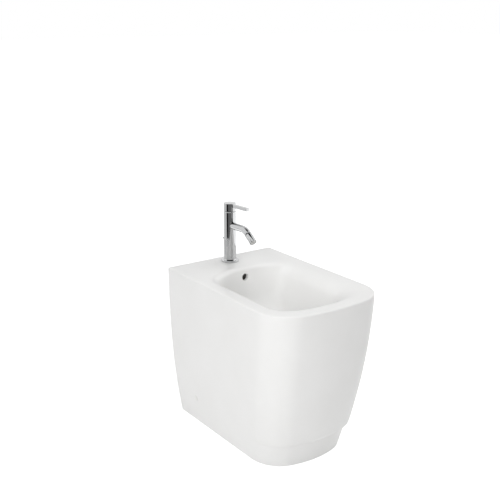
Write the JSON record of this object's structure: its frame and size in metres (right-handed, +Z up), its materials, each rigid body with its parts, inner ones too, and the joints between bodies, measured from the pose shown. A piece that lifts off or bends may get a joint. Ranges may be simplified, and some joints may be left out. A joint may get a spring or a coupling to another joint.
{
  "type": "floor standing bidet",
  "caption": "Floor-standing ceramic bidet with a recessed plinth, an open basin with an overflow hole, a tall single-lever mixer tap with a swivel aerator, and a pop-up waste with trap.",
  "frame": {"origin": "on the floor, under the middle of the outline of the ceramic: half-way between the wall face and the front of the rim, on the plane of symmetry", "axes": "+Z up, +Y to the wall behind the bidet, -Y to the user, +X to the right as the user faces the wall"},
  "size_m": [0.355, 0.5249, 0.6226],
  "materials": {
    "china": "gloss",
    "chrome": "polished",
    "steel": "satin",
    "brass": "satin",
    "rubber": "matte",
    "nylon": "satin",
    "alumina": "satin"
  },
  "bodies": {
    "bidet": {"ceramic_rim": "china", "ceramic_basin": "china", "ceramic_skirt": "china", "floor_bracket_left": "nylon", "floor_bracket_right": "nylon", "side_screws": "steel", "cover_caps": "nylon", "mixer_body": "chrome", "base_flange": "chrome", "deck_gasket": "rubber", "clamp_washer_rubber": "rubber", "clamp_washer_steel": "steel", "mounting_stud": "steel", "stud_nut": "brass", "spout": "chrome", "swivel_ball": "chrome", "cartridge_seal": "rubber", "cartridge_housing": "nylon", "fixed_disc": "alumina", "dome_nut": "chrome", "pivot_seat": "nylon", "pivot_nut": "chrome", "waste_flange": "chrome", "waste_upper_gasket": "rubber", "waste_body": "brass", "waste_lower_gasket": "rubber", "waste_back_nut": "brass", "trap_top_nut": "chrome", "trap_inlet": "chrome", "trap_body": "chrome", "trap_cup": "chrome", "trap_outlet_nut": "chrome", "outlet_pipe": "chrome"},
    "lever_collar": {"cartridge_rotor": "nylon", "rotor_pin": "steel"},
    "lever": {"lever_stem": "steel", "lever_head": "chrome", "lever_bar": "chrome", "grub_screw": "steel"},
    "mixing_disc": {"sliding_disc": "alumina"},
    "swivel_ring": {"swivel_seat_ring": "nylon"},
    "aerator": {"aerator_housing": "chrome", "aerator_insert": "nylon"},
    "lift_linkage": {"lift_rod": "chrome", "lift_knob": "chrome", "rod_clamp": "brass", "clamp_screw": "steel", "rod_strap": "steel"},
    "pivot_lever": {"pivot_rod": "chrome"},
    "plug": {"plug": "chrome", "plug_seal": "rubber"}
  },
  "joints": [
    {"name": "lever_turn", "type": "hinge", "parent": "bidet", "child": "lever_collar", "pos_m": [0, 0.2125, 0.584], "axis": [0, 0, 1], "range_deg": [-50, 50]},
    {"name": "lever_lift", "type": "hinge", "parent": "lever_collar", "child": "lever", "pos_m": [0, 0.2125, 0.584], "axis": [-1, 0, 0], "range_deg": [0, 20]},
    {"name": "disc_slide", "type": "slide", "parent": "lever_collar", "child": "mixing_disc", "axis": [0, -1, 0], "range_m": [0, 0.0026]},
    {"name": "aerator_pan", "type": "hinge", "parent": "bidet", "child": "swivel_ring", "pos_m": [0, 0.11797, 0.5453], "axis": [0, -0.5807, 0.8141], "range_deg": [-12, 12]},
    {"name": "aerator_tilt", "type": "hinge", "parent": "swivel_ring", "child": "aerator", "pos_m": [0, 0.11797, 0.5453], "axis": [1, 0, 0], "range_deg": [-12, 12]},
    {"name": "lift_slide", "type": "slide", "parent": "bidet", "child": "lift_linkage", "axis": [0, 0.2419, 0.9703], "range_m": [0, 0.028]},
    {"name": "pivot_swing", "type": "hinge", "parent": "bidet", "child": "pivot_lever", "pos_m": [0, 0.0375, 0.246], "axis": [1, 0, 0], "range_deg": [0, 11.05]},
    {"name": "plug_slide", "type": "slide", "parent": "bidet", "child": "plug", "axis": [0, 0, -1], "range_m": [0, 0.0059]}
  ],
  "couplings": [
    {"joint": "disc_slide", "follows": "lever_lift", "m_per_rad": 0.0071635},
    {"joint": "pivot_swing", "follows": "lift_slide", "rad_per_m": 6.8671},
    {"joint": "plug_slide", "follows": "lift_slide", "ratio": 0.20668}
  ]
}
